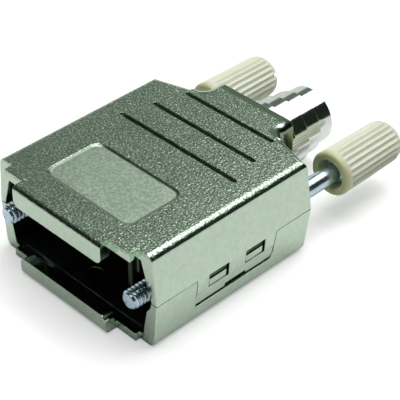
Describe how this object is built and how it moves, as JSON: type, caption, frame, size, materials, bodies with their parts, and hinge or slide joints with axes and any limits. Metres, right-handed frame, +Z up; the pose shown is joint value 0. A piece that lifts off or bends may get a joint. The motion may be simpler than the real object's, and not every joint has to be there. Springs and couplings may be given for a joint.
{
  "type": "d-sub hood",
  "caption": "Plated two-part backshell for a small D-subminiature connector, with snap latches, a stepped cable outlet and captive thumbscrews.",
  "frame": {"origin": "on the flat underside, on the centre line, directly below the plane where the connector's flange seats", "axes": "+X across the two screws, +Y rearwards to the cable end, +Z up from the underside"},
  "size_m": [0.032, 0.0538, 0.0155],
  "materials": {
    "shell": "grained nickel plating over plastic, smooth on the sides",
    "outlet": "mirror bright",
    "spindle": "bright zinc plating",
    "head": "satin beige moulding"
  },
  "bodies": {
    "hood": {"upper_shell": "shell", "lower_shell": "shell", "cable_outlet": "outlet"},
    "left_spindle": {"spindle_left": "spindle"},
    "right_spindle": {"spindle_right": "spindle"},
    "left_head": {"head_left": "head"},
    "right_head": {"head_right": "head"}
  },
  "joints": [
    {"name": "left_screw_slide", "type": "slide", "parent": "hood", "child": "left_spindle", "axis": [0, -1, 0], "range_m": [0, 0.0054]},
    {"name": "right_screw_slide", "type": "slide", "parent": "hood", "child": "right_spindle", "axis": [0, -1, 0], "range_m": [0, 0.0054]},
    {"name": "left_head_turn", "type": "hinge", "parent": "left_spindle", "child": "left_head", "pos_m": [-0.01249, 0.042, 0.0076], "axis": [0, 1, 0], "continuous": true},
    {"name": "right_head_turn", "type": "hinge", "parent": "right_spindle", "child": "right_head", "pos_m": [0.01249, 0.042, 0.0076], "axis": [0, 1, 0], "continuous": true}
  ]
}
